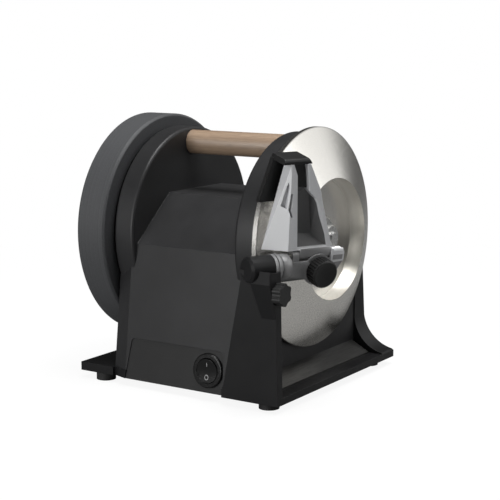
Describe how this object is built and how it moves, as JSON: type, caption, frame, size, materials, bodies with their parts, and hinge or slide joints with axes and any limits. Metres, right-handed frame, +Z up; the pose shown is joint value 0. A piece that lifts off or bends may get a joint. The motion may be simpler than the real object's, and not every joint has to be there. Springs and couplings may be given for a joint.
{
  "type": "electric knife sharpener",
  "caption": "Bench knife sharpener with a conical grinding wheel, a honing wheel, a carrying handle and a tilting knife guide with a sprung slot.",
  "frame": {"origin": "on the bench, midway between the four feet and straight under the wheel axis", "axes": "+X along the wheel axis and out of the grinding wheel, -Y the front with the switch, +Z up"},
  "size_m": [0.1842, 0.1739, 0.182],
  "materials": {
    "housing_plastic": "matt black moulded plastic",
    "base_plastic": "matt black moulded plastic",
    "rubber_black": "black rubber",
    "switch_plastic": "gloss black plastic",
    "beech": "oiled pale wood",
    "steel_dish": "fine turned steel with an abrasive face",
    "honing_compound": "dark grey honing composite",
    "dark_plastic": "dark plastic",
    "guide_metal": "bead blasted cast metal",
    "knob_plastic": "black plastic",
    "plain_steel": "bright steel",
    "gear_nylon": "natural nylon",
    "board_green": "circuit board",
    "tray_metal": "dark coated sheet"
  },
  "bodies": {
    "machine": {"main_housing": "housing_plastic", "base_frame": "base_plastic", "debris_tray": "tray_metal", "bottom_cover": "base_plastic", "cover_screws": "plain_steel", "housing_screws": "plain_steel", "rubber_feet": "rubber_black", "switch_panel": "dark_plastic", "switch_body": "switch_plastic", "cord_gland": "rubber_black", "handle": "beech", "handle_screws": "plain_steel", "left_bearing": "plain_steel", "right_bearing": "plain_steel", "motor_can": "plain_steel", "gear_frame": "dark_plastic", "circuit_board": "board_green"},
    "spindle": {"main_shaft": "plain_steel", "driven_gear": "gear_nylon", "grinding_hub": "plain_steel", "grinding_wheel": "steel_dish", "grinding_washer": "plain_steel", "grinding_nut": "plain_steel", "honing_tyre": "honing_compound", "honing_core": "dark_plastic", "honing_washer": "plain_steel", "honing_nut": "plain_steel"},
    "countershaft": {"counter_shaft": "plain_steel", "counter_gear": "gear_nylon"},
    "motor_armature": {"motor_rotor": "plain_steel", "motor_pinion": "plain_steel"},
    "rocker": {"switch_rocker": "switch_plastic"},
    "guide_carrier": {"guide_arm": "guide_metal", "guide_pivot": "plain_steel", "tilt_pin": "plain_steel"},
    "knife_guide": {"guide_frame": "guide_metal", "guide_cap": "knob_plastic"},
    "jaw": {"blade_jaw": "knob_plastic"},
    "angle_dial": {"angle_knob": "knob_plastic"},
    "lock_screw": {"lock_knob": "knob_plastic"}
  },
  "joints": [
    {"name": "spindle_spin", "type": "hinge", "parent": "machine", "child": "spindle", "pos_m": [0, 0, 0.1025], "axis": [1, 0, 0], "continuous": true},
    {"name": "countershaft_spin", "type": "hinge", "parent": "machine", "child": "countershaft", "pos_m": [0.02, 0.014, 0.07825], "axis": [1, 0, 0], "continuous": true},
    {"name": "armature_spin", "type": "hinge", "parent": "machine", "child": "motor_armature", "pos_m": [0, 0, 0.05516], "axis": [1, 0, 0], "continuous": true},
    {"name": "switch_rock", "type": "hinge", "parent": "machine", "child": "rocker", "pos_m": [0.0246, -0.07464, 0.02013], "axis": [1, 0, 0], "range_deg": [-7, 0]},
    {"name": "guide_swing", "type": "hinge", "parent": "machine", "child": "guide_carrier", "pos_m": [0.0742, -0.06999, 0.09389], "axis": [0.4139, 0.9103, 0], "range_deg": [0, 30]},
    {"name": "guide_tilt", "type": "hinge", "parent": "guide_carrier", "child": "knife_guide", "pos_m": [0.08584, -0.03903, 0.09984], "axis": [0.4139, 0.9103, 0], "range_deg": [-5, 9]},
    {"name": "jaw_press", "type": "slide", "parent": "knife_guide", "child": "jaw", "axis": [0.887, -0.4033, -0.225], "range_m": [0, 0.0006], "stiffness_N_per_m": 800, "springref_m": -0.001},
    {"name": "angle_knob_turn", "type": "hinge", "parent": "guide_carrier", "child": "angle_dial", "pos_m": [0.08633, -0.04068, 0.08921], "axis": [0.887, -0.4033, -0.225], "range_deg": [-100, 180]},
    {"name": "lock_knob_turn", "type": "hinge", "parent": "machine", "child": "lock_screw", "pos_m": [0.0817, -0.0815, 0.079], "axis": [1, 0, 0], "range_deg": [0, 180]}
  ],
  "couplings": [
    {"joint": "countershaft_spin", "follows": "spindle_spin", "ratio": -3},
    {"joint": "armature_spin", "follows": "spindle_spin", "ratio": 10.5},
    {"joint": "angle_knob_turn", "follows": "guide_tilt", "ratio": 20}
  ]
}
